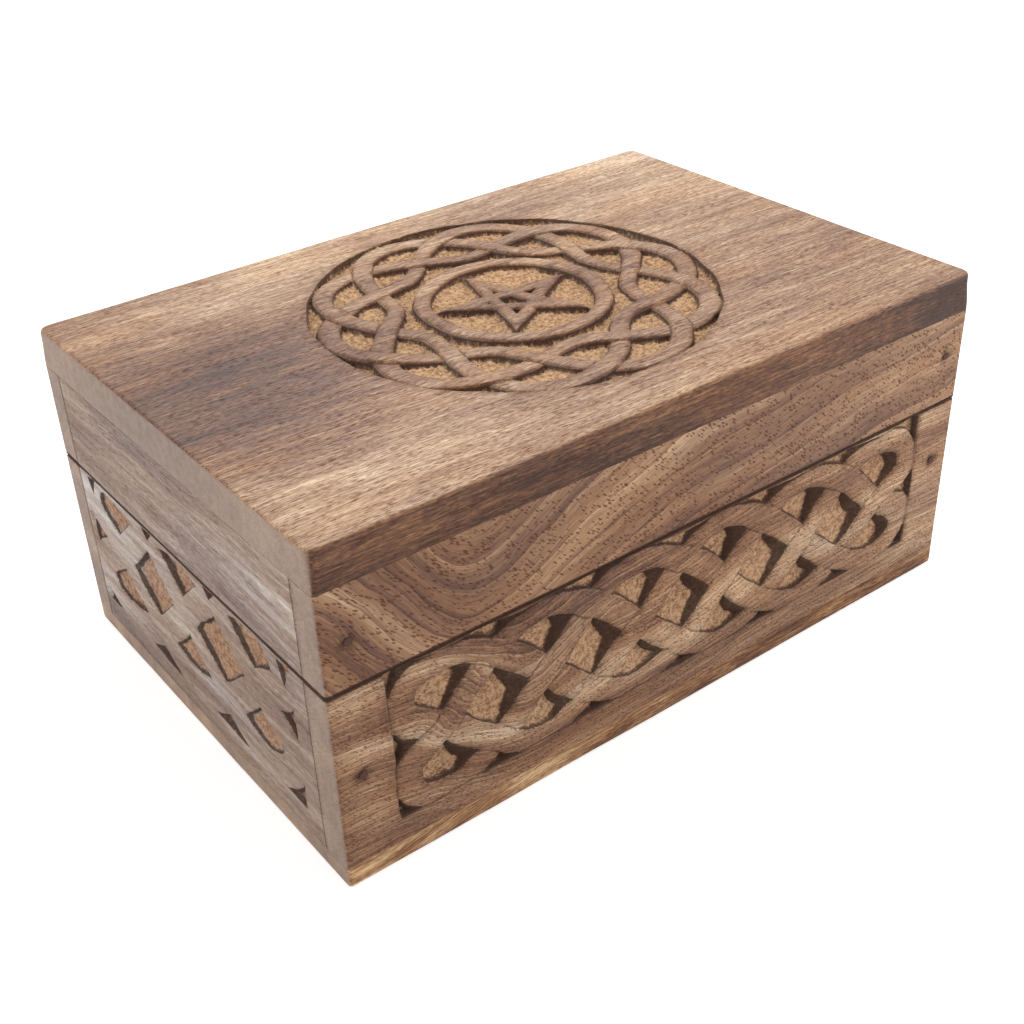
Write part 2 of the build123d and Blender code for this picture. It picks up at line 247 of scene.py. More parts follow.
@dataclass
class Plait:
    """The four-strand plait of one side, in a field round its own middle."""
    length: float  # of the field
    steps: int  # crossings along the field, its two ends among them
    low: float  # the field's foot
    high: float  # and its head
    swing: float  # half the plait's height
    strand: float  # the strands' width on their straights
    arc: float  # and round their bends
    swell: float  # how much wider the end loops get
    depth: float  # of the pockets
    sink: float  # how far a strand dips where it passes under
    crown: float  # how far a strand falls from its middle to its edges
    slant: float  # run of the pockets' sloping walls
    slant_side: int  # 1 where those are at the pockets' right, -1 at their left
    facing: tuple  # the way from the strand to the pocket where a wall slopes most
    marks: float  # strength of the border's line and of the grooves at crossings
    seed: int
    notches: tuple = ()  # the place, half width and height of each notch in the head
    notch_head: float = 0.0

    wax = 0.0
    ROUNDING = 0.28
    STRAY = ((9.0, 0.55), (2.2, 0.18))
    LOOP_REACH = 0.78  # how far an end loop goes past the last crossing, in steps
    # A loop's two curves from its head to the crossing, in shares of its reach and of the swing.
    LOOP = np.array([[(0, 1), (0.62, 1), (1, 0.85), (1, 0.5)],
                     [(1, 0.5), (1, 0.26), (0.5, 0.22), (0, 0)]])
    POCKET_ROWS = ((8.2,), (0.0, 15.2))  # heights of the pockets at even and odd crossings
    POCKET_HALF = 5.5
    DEEP_SIDE = np.array([0.75, 0.65])  # the pockets are deeper toward this side
    TILT = 0.42
    FLOOR_RUN = 0.4  # run of a pocket's steep walls
    CHISEL = np.array([[0.8, 0.5], [-0.6, 1.6]])  # turns and squeezes noise into chisel cuts

    @property
    def step(self):
        return self.length / self.steps

    def paths(self):
        """Each strand as points, with its width and its lift along them."""
        crown = (self.steps / 2 - 1) * self.step
        index = np.linspace(0, self.steps - 2, (self.steps - 2) * 8 + 1)
        for quarter in range(4):
            phase = np.pi / 4 * index + quarter * np.pi / 2
            path = np.stack([index * self.step - crown, self.swing * np.cos(phase)], 1)
            width = self.strand + (self.arc - self.strand) * np.abs(np.cos(phase)) ** 6
            yield path, width, np.sin(3 * phase)
        size = (self.LOOP_REACH * self.step, self.swing)
        first, second = (bezier(corners * size, 11) for corners in self.LOOP)
        loop = np.concatenate([first, second[1:]])
        swell = np.sin(np.pi * np.linspace(0, 1, len(loop)) ** 1.5) ** 2
        width = (self.strand + self.arc) / 2 + self.swell * swell
        for end in (-1, 1):
            for side in (-1, 1):
                path = np.stack([end * (crown + loop[:, 0]), side * loop[:, 1]], 1)
                yield path, width, np.linspace(0, side * end, len(path))

    def plan(self, points):
        """The strands over the points, and the distance inside the field's border."""
        spots = points + stray(points, self.STRAY, self.seed)
        relief = Relief(spots)
        for path, width, lift in self.paths():
            relief.lay_strand(path, width, lift, self.sink, self.ROUNDING, self.crown)
        relief.groove *= self.marks
        for place, half_width, height in self.notches:
            fall = self.notch_head - spots[:, 1]
            side = (half_width * (1 - fall / height) - np.abs(spots[:, 0] - place)) * height
            inside = np.minimum(side / math.hypot(height, half_width), fall)
            relief.edge = np.maximum(relief.edge, inside)
        border = np.minimum(self.length / 2 - np.abs(spots[:, 0]),
                            np.minimum(spots[:, 1] - self.low, self.high - spots[:, 1]))
        return relief, border

    def pockets(self):
        """The middles of the pockets between the strands."""
        for index in range(-1, self.steps):
            x = (index + 1 - self.steps / 2) * self.step
            for height in self.POCKET_ROWS[index % 2]:
                yield x, height
                if height:
                    yield x, -height

    def ground(self, points, slope):
        """Depth of the floor and run of its walls at the points, given how far those slope."""
        away = np.full(len(points), FAR)
        lean, chance, aside = (np.zeros(len(points)) for _ in range(3))
        for number, middle in enumerate(self.pockets()):
            offset = points - middle
            length = np.hypot(*offset.T)
            near = length < away
            away[near] = length[near]
            lean[near] = (offset[near] @ self.DEEP_SIDE) / self.POCKET_HALF
            aside[near] = offset[near, 0]
            chance[near] = lattice_random(np.array([[number, self.seed]]), 5)[0]
        tilt = self.TILT * np.clip(lean, -1.2, 1.2) + 0.3 * (chance - 0.5)
        tilt += 0.14 * noise(points, 2.4, self.seed + 7)
        chisel = 0.12 * np.abs(noise(points @ self.CHISEL, 1.3, self.seed + 8))
        widening = smoothstep(-1.5, 4.0, self.slant_side * aside)
        run = self.FLOOR_RUN + self.slant * slope * (0.7 + 0.6 * chance) * widening
        return self.depth * (1 + tilt) + chisel, run

    def line(self, points, border):
        """The border's incised line, deep in some stretches and faint in others."""
        strength = 0.35 + 0.65 * smoothstep(-0.4, 0.5, noise(points, 16.0, self.seed + 9))
        return np.clip(1 - np.abs(border) / LINE_HALF_WIDTH, 0, 1) * strength * self.marks


def knot_arc(index):
    """One of the knot's ten equal arcs, from one inner turn to the next."""
    turn = np.linspace(-np.pi, np.pi, 43)
    angle = turn * LEADS / BIGHTS + math.radians(KNOT_TURN + 360.0 * index / BIGHTS)
    radius = KNOT_RADIUS + KNOT_SWING * np.cos(turn)
    path = np.stack([radius * np.cos(angle), radius * np.sin(angle)], 1)
    lift = np.clip(np.sin(2 * turn) * 1.155, -1, 1)
    width = KNOT_STRAND + 0.35 * np.cos(turn)
    return path, width, lift


class Medallion:
    """The round knotwork with its ring and star, about its own middle."""
    seed, wax, facing = 90, 0.05, (0.0, 0.0)
    SINK, ROUNDING, CROWN = 0.4, 0.36, 0.16
    FLAT_SINK = 0.05  # the ring and the star's upper straps lie this far down
    STAR_SINK, STAR_ROUNDING = 0.3, 0.3
    STRAY = ((7.0, 0.35), (1.8, 0.1))
    FLOOR_RUN = 0.30
    PUNCH, PUNCH_RADIUS, PUNCH_SPACING = 0.34, 0.65, 1.05

    def lay_star(self, relief):
        """Five straps from point to point, each on the inner side of its outer line."""
        points = [np.array([r * math.cos(math.radians(a)), r * math.sin(math.radians(a))])
                  for a, r in STAR_POINTS]
        middle = STAR_STRAP / 2

        def outside(k):
            start, end = points[k % 5], points[(k + 2) % 5]
            along = (end - start) / np.linalg.norm(end - start)
            out = np.array([-along[1], along[0]])
            out *= np.sign(out @ (start + end))
            return (relief.points - start) @ out, (relief.points - start) @ along, end - start

        for k in range(5):
            over, along, chord = outside(k)
            inside = np.maximum(over, -over - STAR_STRAP)
            inside = np.maximum(inside, np.maximum(outside(k + 3)[0], outside(k + 2)[0]))
            place = along / np.linalg.norm(chord) - 0.5
            lift = np.sin(place * 2 * np.pi * STAR_WAVE) * (np.abs(place) < STAR_CROSSINGS)
            relief.lay(inside, np.abs(over + middle) / middle,
                       self.FLAT_SINK + self.STAR_SINK * (1 - lift) / 2, self.STAR_ROUNDING,
                       self.CROWN)

    def plan(self, points):
        spots = points + stray(points, self.STRAY, self.seed)
        relief, star = Relief(spots), Relief(spots)
        for index in range(BIGHTS):
            relief.lay_strand(*knot_arc(index), self.SINK, self.ROUNDING, self.CROWN)
        radius = np.hypot(*spots.T)
        ring_middle, ring_half = sum(RING) / 2, (RING[1] - RING[0]) / 2
        off_ring = np.abs(radius - ring_middle)
        relief.lay(off_ring - ring_half, off_ring / ring_half, self.FLAT_SINK, self.ROUNDING,
                   self.CROWN)
        self.lay_star(star)
        inner = radius < ring_middle
        relief.edge = np.where(inner, np.minimum(relief.edge, star.edge), relief.edge)
        relief.top = np.where(inner, np.minimum(relief.top, star.top), relief.top)
        return relief, MEDALLION - radius

    def ground(self, points, slope):
        seed = self.seed
        tilt = 0.22 * noise(points, 6.0, seed + 5) + 0.12 * noise(points, 1.6, seed + 6)
        marks = pits(points, self.PUNCH_SPACING, seed + 7)
        punch = self.PUNCH * smoothstep(self.PUNCH_RADIUS, 0.0, marks)
        return MEDALLION_DEPTH * (1 + tilt) + punch, np.full(len(points), self.FLOOR_RUN)

    def line(self, points, border):
        return np.zeros(len(points))


# ---- Boards ----
def box_of(node):
    """A CAD node's lowest and highest corner in millimetres."""
    return [np.array(corner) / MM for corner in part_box(node)]


FRONT_FACE, BACK_FACE = (corner[1] for corner in box_of("lid_top_board"))
TOP_UNDERSIDE, BOX_TOP = (corner[2] for corner in box_of("lid_top_board"))
HALF_WIDTH = (cad_high[0] - cad_low[0]) / 2 / MM
HALF_DEPTH = (BACK_FACE - FRONT_FACE) / 2
MIDDLE_Y = (FRONT_FACE + BACK_FACE) / 2
BOARD_FOOT, RIM_BASE = (corner[2] for corner in box_of("base_back_panel"))
RIM_LID = RIM_BASE + 2 * HALF_GAP
HINGE_XS = [sum(corner[0] for corner in box_of(f"hinge_{side}_pin")) / 2
            for side in ("left", "right")]

# The outward side of a board, with its own axes: along, up as seen from outside, and inward.
SIDES = {
    "front": ((1, 0, 0), (0, 0, 1), (0, 1, 0)),
    "back": ((-1, 0, 0), (0, 0, 1), (0, -1, 0)),
    "left": ((0, -1, 0), (0, 0, 1), (1, 0, 0)),
    "right": ((0, 1, 0), (0, 0, 1), (-1, 0, 0)),
    "top": ((1, 0, 0), (0, 1, 0), (0, 0, -1)),
    "bottom": ((1, 0, 0), (0, -1, 0), (0, 0, 1)),
}


def size_of(node, side):
    """A board's length, height and thickness, seen from its outward side."""
    low, high = box_of(node)
    return np.abs(np.array(SIDES[side], float) @ (high - low))


def edge_lines(length, ease, fine=None):
    """Lattice lines along a length, close together over its eased ends and a carved stretch."""
    end = length / 2
    stretches = [(ease - end, ease / EASE_STEPS)]
    if fine:
        stretches += [(fine[0], COARSE), (fine[1], CELL)]
    stretches += [(end - ease, COARSE), (end, ease / EASE_STEPS)]
    lines = [-end]
    for stop, spacing in stretches:
        start = lines[-1]
        if stop - start > 1e-6:
            count = max(1, round((stop - start) / spacing))
            lines += list(np.linspace(start, stop, count + 1)[1:])
    return np.array(lines)


def onto_arc(a, b):
    """What brings two offsets past a corner onto an arc, where both are above 0."""
    squeeze = np.maximum(a, b) / np.maximum(np.hypot(a, b), 1e-9)
    return np.where((a > 0) & (b > 0), squeeze, 1)


class Board:
    """A closed board: a lattice on its outward side, strips round its edges and a flat inner face.
    local holds each point's place along the board, up it and in from its outward side."""

    def __init__(self, node, side, us, vs, ws):
        self.node, self.side, self.lines = node, side, (us, vs)
        self.axes = np.array(SIDES[side], float)
        self.middle, self.size = sum(box_of(node)) / 2, size_of(node, side)
        self.outer = len(us) * len(vs)
        close = [np.abs(np.gradient(line) - CELL) < 0.2 * CELL for line in self.lines]
        self.fine = np.logical_and.outer(*close).ravel()
        grid = np.arange(self.outer).reshape(len(us), len(vs))
        loop = np.concatenate([grid[:, 0], grid[-1, 1:], grid[-2::-1, -1], grid[0, -2:0:-1]])
        face = np.stack([line.ravel() for line in np.meshgrid(us, vs, [0.0], indexing="ij")], 1)
        self.local = np.concatenate([face] + [face[loop] + (0, 0, w) for w in ws[1:]])
        self.quads = self.faces(grid, loop, len(ws) - 1)
        self.inner_face = np.arange(len(self.local))[:-len(loop) - 1:-1]
        self.stain_and_shade = np.zeros(len(self.local))  # dark wax in joints and carving, and painted shade along the seam and in the carving's grooves
        self.reach = np.full(len(self.local), -2.0)  # from the carving's edge, into the pockets
        self.run = np.ones(len(self.local))  # how far the pockets' walls slope
        self.carved = False

    def faces(self, grid, loop, strips):
        front = np.stack([grid[:-1, :-1], grid[1:, :-1], grid[1:, 1:], grid[:-1, 1:]], -1)
        quads = [front.reshape(-1, 4)]
        upper = loop
        for strip in range(strips):
            lower = self.outer + strip * len(loop) + np.arange(len(loop))
            quads.append(np.stack([np.roll(upper, -1), upper, lower, np.roll(lower, -1)], 1))
            upper = lower
        return np.concatenate(quads)

    def turn_quads(self):
        """Turns each quad so that it folds between the two corners whose depths are more alike."""
        depth = self.local[:, 2][self.quads]
        turn = np.abs(depth[:, 1] - depth[:, 3]) < np.abs(depth[:, 0] - depth[:, 2]) - 1e-6
        self.quads = np.where(turn[:, None], np.roll(self.quads, 1, axis=1), self.quads)

    def world(self):
        """The vertices in the part's frame, in millimetres."""
        return self.middle + (self.local - (0, 0, self.size[2] / 2)) @ self.axes

    def darken(self, amount, count=None):
        """Darkens the board's first points, or all of them, by at least an amount, for stain and
        for painted shade.
        """
        self.stain_and_shade[:count] = np.maximum(self.stain_and_shade[:count], amount)

    def ease_joint(self, edge, sign, radius):
        """Softens one edge of the outward side: edge is 0 along u or 1 along v."""
        inset = self.size[edge] / 2 - sign * self.local[:, edge]
        a, b = (np.clip(radius - away, 0, None) for away in (inset, self.local[:, 2]))
        squeeze = onto_arc(a, b)
        self.local[:, edge] += sign * (a * squeeze - a)
        self.local[:, 2] += b - b * squeeze


# ---- Rounding and planing ----
def past_corner(points, radius):
    """How far points lie past the straight stretches of a rounded outline, along x and y."""
    return np.stack([np.abs(points[:, 0]) - (HALF_WIDTH - radius),
                     np.abs(points[:, 1] - MIDDLE_Y) - (HALF_DEPTH - radius)], 1)


def outward(points, x, y):
    """Offsets away from the box's middle, from their sizes along x and y."""
    return np.stack([x * np.sign(points[:, 0]), y * np.sign(points[:, 1] - MIDDLE_Y)], 1)


def round_plan(points, radius):
    """Rounds the box's upright corners, where a board reaches them."""
    q = past_corner(points, radius)
    moved = q * onto_arc(*q.T)[:, None] - q
    points = points.copy()
    points[:, :2] += outward(points, *moved.T)
    return points


def outline(points, radius):
    """Distance inside the box's outline in plan, and the outward direction there."""
    q = past_corner(points, radius)
    corner = (q > 0).all(1)
    reach = np.where(corner, np.hypot(*np.clip(q, 0, None).T), q.max(1))
    flat = np.stack([q[:, 0] > q[:, 1], q[:, 0] <= q[:, 1]], 1)
    way = np.where(corner[:, None], q / np.maximum(reach, 1e-9)[:, None], flat)
    return radius - reach, outward(points, *way.T)


def ease_level(points, corner, level, side, radius):
    """Rounds the outside edge at a height: side is 1 for an upper edge and -1 for a lower one."""
    inset, out = outline(points, corner)
    drop = side * (level - points[:, 2])
    radius = radius * (1 + 0.35 * noise(points, 23.0, 7))
    a, b = (np.clip(radius - away, 0, None) for away in (inset, drop))
    squeeze = np.where(drop > -1e-6, onto_arc(a, b), 1)
    points = points.copy()
    points[:, :2] -= (a - a * squeeze)[:, None] * out
    points[:, 2] -= side * (b - b * squeeze)
    return points


def hand_planed(points, corner):
    """The slight waviness of surfaces that were planed and sanded by hand."""
    inset, out = outline(points, corner)
    swell = 0.10 * noise(points, 31.0, 11) + 0.05 * noise(points, 12.0, 12)
    points = points.copy()
    points[:, :2] += (smoothstep(6.0, 1.0, inset) * (swell - 0.05))[:, None] * out
    return points


# ---- Cuts ----
def cut_back_rim(board, upper):
    """Bevels a back board's rim and lets the hinges in: upper is 1 where the rim is its top."""
    u, v, depth = board.local.T
    past_axis = depth - AXIS_INSET
    rise = AXIS_INSET * math.tan(math.radians(OPENING_STOP / 2))
    cut = np.clip(-past_axis / AXIS_INSET, 0, None) * rise + HALF_GAP
    leaf_length, leaf_depth, leaf_height = LEAF_ROOM
    leaf = np.where(past_axis < leaf_depth, HALF_GAP + leaf_height, 0)
    bore = np.sqrt(np.clip(BARREL_ROOM ** 2 - past_axis ** 2, 0, None))
    for x in HINGE_XS:
        cut = np.where(np.abs(u + x) < leaf_length, np.maximum(cut, np.maximum(leaf, bore)), cut)
    share = np.clip(1 - (board.size[1] / 2 - upper * v) / RIM_STRETCH, 0, 1)
    on_rim = depth < board.size[2] - 1e-6
    board.local[:, 1] -= upper * np.where(on_rim, (cut - HALF_GAP) * share, 0)


def nail_dimples(board, spots):
    """Sinks the outward side a little at each filled nail, and darkens the wood round it."""
    face = board.local[:board.outer]
    lumps = 0.25 * noise(face[:, :2], 1.1, 33)
    within = FILLER_RADIUS - 0.1
    for spot in spots:
        away = np.hypot(*(face[:, :2] - spot).T) + lumps
        face[:, 2] += FILLER_DIP * smoothstep(FILLER_RADIUS + 0.15, within, away)
        board.darken(0.75 * smoothstep(FILLER_RADIUS + 0.9, within, away), board.outer)


def blurred(field, times):
    """A lattice's values, each mixed with its neighbours' so many times over."""
    for _ in range(times):
        wide = np.pad(field, 1, mode="edge")
        around = wide[:-2, 1:-1] + wide[2:, 1:-1] + wide[1:-1, :-2] + wide[1:-1, 2:]
        field = (around + 2 * field) / 6
    return field


def snap(board, carving, points):
    """Moves lattice points that lie near a pocket's brink or its walls' foot onto it. Gives the
    points, where the walls slope, and which points are on a brink and which on a foot."""
    relief, border = carving.plan(points)
    reach = np.minimum(relief.edge, border)
    us, vs = board.lines
    gu, gv = np.gradient(reach.reshape(len(us), len(vs)), us, vs)
    steepness = np.hypot(gu, gv) + 1e-6
    way = np.stack([gu / steepness, gv / steepness])
    across, up = carving.facing
    slope = blurred(np.clip(across * way[0] + up * way[1], 0, 1), WALL_BLUR).ravel()
    run = carving.ground(points, slope)[1]
    sure = (steepness.ravel() > 0.5) & board.fine
    brink = (np.abs(reach) < 0.5 * CELL) & sure
    foot = (np.abs(reach - run) < 0.45 * CELL) & sure & ~brink
    move = np.where(brink, -reach, 0) + np.where(foot, run - reach, 0)
    return points + (move * way.reshape(2, -1)).T * 0.95, slope, brink, foot


def carve(board, carving, origin):
    """Sinks a board's outward side by a carving: origin is the carving's middle on that side."""
    points = board.local[:board.outer, :2] - origin
    points, slope, brink, foot = snap(board, carving, points)
    board.local[:board.outer, :2] = points + origin
    relief, border = carving.plan(points)
    depth, run = carving.ground(points, slope)
    reach = np.where(brink, 0.0, np.minimum(relief.edge, border))
    reach = np.where(foot, run, reach)

    on_strand = (relief.edge < np.where(brink, TOP_REACH, 0.0)) & (relief.top < FAR)
    shelf = np.where(on_strand, relief.top + GROOVE_DEPTH * relief.groove, 0.0)
    shelf *= smoothstep(-0.35, 0.35, border)
    floor = depth * np.clip(reach / run, 0, 1) ** 0.8
    surface = np.where(reach > 1e-6, np.maximum(shelf, floor), shelf)
    line = carving.line(points, border)
    board.local[:board.outer, 2] += np.maximum(surface, LINE_DEPTH * line)
    board.darken(0.9 * line, board.outer)
    # Painted shade in the grooves beside strands that pass over another.
    board.darken(0.65 * relief.groove * on_strand * (border > 0), board.outer)
    board.darken(carving.wax * smoothstep(-0.2, 0.2, border), board.outer)
    board.reach[:board.outer] = np.clip(reach, -2, 6)
    board.run[:board.outer] = run
    board.carved = True
    board.turn_quads()


# ---- Meshes ----
def build(board, points, body, materials):
    """Makes a board's closed mesh, its inner face in the last material, and rides it on a body."""
    name = board.node + "_wood"
    mesh = bpy.data.meshes.new(name)
    faces = board.quads.tolist() + [board.inner_face.tolist()]
    mesh.from_pydata((points * MM).tolist(), [], faces, shade_flat=False)
    for material in materials:
        mesh.materials.append(material)
    inner_face = mesh.polygons[len(faces) - 1]
    inner_face.use_smooth, inner_face.material_index = False, len(materials) - 1
    values = {"stain_and_shade": board.stain_and_shade, "reach": board.reach, "run": board.run,
              "carved": np.full(len(points), float(board.carved))}
    for key, value in values.items():
        layer = mesh.attributes.new(key, "FLOAT", "POINT")
        layer.data.foreach_set("value", value.astype(np.float32))
    mesh.validate()
    piece = bpy.data.objects.new(name, mesh)
    bpy.context.scene.collection.objects.link(piece)
    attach(piece, body)
    return piece


def finish_board(board, body, inside, levels, widening=0.0):
    """Rounds a board's outside edges, makes its mesh and lets it stand for its node. Its corners
    are rounder toward its top by the widening. levels lists the height, side and radius of each
    eased edge."""
    points = board.world()
    foot, head = points[:, 2].min(), points[:, 2].max()
    corner = CORNER_RADIUS + widening * smoothstep(foot, head - 1, points[:, 2])
    points = round_plan(points, corner)
    inset = outline(points, corner)[0]
    for level, side, radius in levels:
        # Painted shade along the seam between lid and base.
        if level in (RIM_BASE, RIM_LID):
            wide = 0.55 if board.side in ("front", "back") else 0.3
            close = smoothstep(wide, 0.2, np.abs(points[:, 2] - level))
            board.darken(0.95 * close * smoothstep(1.6, 0.8, inset))
        points = ease_level(points, corner, level, side, radius)
    points = hand_planed(points, corner)
    piece = build(board, points, body, [woods[board.node], inside])
    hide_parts(board.node)


def plait_for(side):
    """A side's plait, and the height of its middle above the ground."""
    middle, half = (FIELD_FOOT + FIELD_HEAD) / 2, (FIELD_HEAD - FIELD_FOOT) / 2
    if side in ("front", "back"):
        plait = Plait(
            length=FRONT_FIELD, steps=12, low=-half + FRONT_DROP, high=half + FRONT_DROP,
            swing=13.6, strand=5.3, arc=4.2, swell=1.5, depth=1.7, sink=0.22, crown=0.20,
            slant=3.6, slant_side=1, facing=(-0.95, -0.25), marks=1.0,
            seed=10 if side == "front" else 210)
        return plait, middle - FRONT_DROP
    plait = Plait(
        length=END_FIELD, steps=6, low=-half - END_LIFT, high=half + 1,
        swing=15.8, strand=6.3, arc=7.5, swell=1.0, depth=1.0, sink=0.04, crown=0.04,
        slant=1.5, slant_side=-1, facing=(0.85, 0.40), marks=0.0,
        seed=410 if side == "left" else 610,
        notches=NOTCHES, notch_head=RIM_BASE - RIM_EASE - middle - END_LIFT)
    return plait, middle + END_LIFT


def hinge_lines(us, ws):
    """Adds lattice lines to a back board at the brinks of the hinges' recesses and bores."""
    leaf_length, leaf_depth, _ = LEAF_ROOM
    step = 0.01  # half the run of a recess's upright wall
    ends = [s * leaf_length - x for x in HINGE_XS for s in (-1, 1)]
    us = np.concatenate([us] + [[end - step, end + step] for end in ends])
    past_axis = (0, 1.5, 1.75, BARREL_ROOM,  # round the bore
                 leaf_depth - step, leaf_depth + step)
    return np.unique(np.round(us, 4)), sorted({*ws, *(AXIS_INSET + w for w in past_axis)})


def make_panel(node, side, body):
    """One upright board of the base, carved, or of the lid, plain."""
    long_side, carved = side in ("front", "back"), body == "base"
    length, height, thick = size_of(node, side)
    middle_z = float(sum(box_of(node))[2] / 2)
    fine_u = fine_v = None
    if carved:
        reach = (FRONT_FIELD if long_side else END_FIELD) / 2 + FIELD_MARGIN
        fine_u = (-reach, reach)
        fine_v = (FIELD_FOOT - FIELD_MARGIN - middle_z, height / 2 - RIM_EASE)
    us = edge_lines(length, CORNER_RADIUS if long_side else END_EASE, fine_u)
    vs = edge_lines(height, RIM_EASE, fine_v)
    ws = [w for w in WALL_LINES if w < thick] + [thick]
    if side == "back":
        us, ws = hinge_lines(us, ws)
    board = Board(node, side, us, vs, ws)
    if carved:
        plait, height_up = plait_for(side)
        aside = END_SHIFT if side == "left" else 0.0
        carve(board, plait, np.array([aside, height_up - middle_z]))
    if not long_side:
        for sign in (-1, 1):
            from_joint = length / 2 - sign * board.local[:, 0]
            close = smoothstep(0.45, 0.1, from_joint) * smoothstep(0.9, 0.3, board.local[:, 2])
            board.darken(0.8 * close)
            board.ease_joint(0, sign, JOINT_EASE)
    upper = 1 if body == "base" else -1
    board.ease_joint(1, -upper, JOINT_EASE)
    if side == "back":
        cut_back_rim(board, upper)
    if long_side:
        ends = (-1, 1) if side == "front" else (1, -1)
        heights = BASE_NAILS if body == "base" else LID_NAILS
        nail_dimples(board, [(end * (HALF_WIDTH - NAIL_INSET), z - middle_z)
                             for end, z in zip(ends, heights)])
    level = RIM_BASE if body == "base" else RIM_LID
    inside = plain_wood if long_side else plain_end_wood
    finish_board(board, body, inside, [(level, upper, RIM_EASE)])


def make_flat(node, side, body, corner, edges, lines, carving=None, offset=(0, 0)):
    """The lid's top board or the base's bottom board. edges holds the heights of its outward and
    inner side, and how much the edge of each is eased."""
    *plan, thick = size_of(node, side)
    reach = MEDALLION + MEDALLION_MARGIN
    us, vs = (edge_lines(size, corner, (middle - reach, middle + reach) if carving else None)
              for size, middle in zip(plan, offset))
    board = Board(node, side, us, vs, [*EDGE_LINES, *lines, thick - LAST_LINE, thick])
    if carving:
        carve(board, carving, np.array(offset))
    up = 1 if side == "top" else -1
    levels = [(level, way, ease) for (level, ease), way in zip(edges, (up, -up))]
    finish_board(board, body, plain_wood, levels, corner - CORNER_RADIUS)


# ---- Node materials ----
class Value:
    """A number that a material works out at each point. Arithmetic on it makes Math nodes."""

    def __init__(self, tree, socket):
        self.tree, self.socket = tree, socket

    def __abs__(self):
        return self.tree.math("ABSOLUTE", self)

    def __rsub__(self, other):
        return self.tree.math("SUBTRACT", other, self)


for method, work in (("__add__", "ADD"), ("__radd__", "ADD"), ("__sub__", "SUBTRACT"),
                     ("__mul__", "MULTIPLY"), ("__rmul__", "MULTIPLY"), ("__truediv__", "DIVIDE"),
                     ("__pow__", "POWER"), ("max", "MAXIMUM")):
    setattr(Value, method, lambda self, other, work=work: self.tree.math(work, self, other))


class Tree:
    """A node tree, with short calls for the nodes that the finishes use."""

    def __init__(self, owner):
        owner.use_nodes = True
        self.nodes, self.links = owner.node_tree.nodes, owner.node_tree.links
        self.nodes.clear()

    def put(self, socket, value):
        value = getattr(value, "socket", value)
        if isinstance(value, bpy.types.NodeSocket):
            self.links.new(value, socket)
        elif value is not None:
            socket.default_value = value

    def add(self, kind, inputs=None, **settings):
        """Adds a node with its settings, and fills its inputs by name or number."""
        node = self.nodes.new("ShaderNode" + kind)
        for key, value in settings.items():
            setattr(node, key, value)
        for key, value in (inputs or {}).items():
            self.put(node.inputs[key], value)
        return node

    def value(self, kind, output, inputs=None, **settings):
        return Value(self, self.add(kind, inputs, **settings).outputs[output])

    def math(self, operation, a, b=None):
        return self.value("Math", 0, {0: a, 1: b}, operation=operation)

    def split(self, vector):
        node = self.add("SeparateXYZ", {0: vector})
        return [Value(self, output) for output in node.outputs]

    def vector(self, x, y, z):
        return self.value("CombineXYZ", 0, {0: x, 1: y, 2: z})

    def place(self):
        """The place on the piece in millimetres, as three numbers."""
        return [axis / MM for axis in self.split(self.value("TexCoord", "Object"))]

    def noise(self, vector, detail, roughness=0.5):
        return self.value("TexNoise", "Fac", {"Vector": vector, "Scale": 1.0, "Detail": detail,
                                              "Roughness": roughness})

    def lumps(self, place, size, detail, roughness):
        """Noise in round lumps of a size."""
        return self.noise(self.vector(*(axis / size for axis in place)), detail, roughness)

    def cells(self, vector):
        """Distance from the nearest of a scatter of points, and a random number for that point."""
        node = self.add("TexVoronoi", {"Vector": vector, "Scale": 1.0})
        return Value(self, node.outputs["Distance"]), self.split(node.outputs["Color"])[0]

    def step(self, value, low, high):
        """0 at low and 1 at high, smooth between; low may be the larger."""
        falling = low > high
        return self.value("MapRange", "Result", {
            "Value": value, "From Min": min(low, high), "From Max": max(low, high),
            "To Min": float(falling), "To Max": float(not falling),
        }, interpolation_type="SMOOTHSTEP")

    def blend(self, share, a, b, kind="MIX"):
        return self.value("Mix", 2, {"Factor": share, 6: a, 7: b}, data_type="RGBA",
                          blend_type=kind)

    def tint(self, color, by):
        return self.blend(1.0, color, (*by, 1.0), "MULTIPLY")

    def ramp(self, value, tones):
        """Colours along a value, from (place, colour) pairs."""
        node = self.add("ValToRGB", {0: value})
        stops = node.color_ramp.elements
        for index, (place, color) in enumerate(tones):
            stop = stops[index] if index < 2 else stops.new(place)
            stop.position, stop.color = place, color
        return Value(self, node.outputs[0])

    def attribute(self, name):
        return self.value("Attribute", "Fac", attribute_name=name)

    def ray(self, kind):
        return self.value("LightPath", f"Is {kind} Ray")


class Shader(Tree):
    """A material with a Principled surface."""

    def __init__(self, name):
        self.material = bpy.data.materials.new(name)
        super().__init__(self.material)
        self.bsdf = self.add("BsdfPrincipled")
        self.output = self.add("OutputMaterial", {"Surface": self.bsdf.outputs[0]})

    def surface(self, inputs):
        for key, value in inputs.items():
            self.put(self.bsdf.inputs[key], value)

    def bump(self, height, distance, strength):
        self.surface({"Normal": self.value("Bump", 0, {
            "Height": height, "Strength": strength, "Distance": distance * MM})})


def srgb(red, green, blue):
    """A colour written as it shows on a screen, from 0 to 255, as the shader wants it."""
    parts = [c / 255 for c in (red, green, blue)]
    return tuple(p / 12.92 if p < 0.04045 else ((p + 0.055) / 1.055) ** 2.4 for p in parts) + (1.0,)


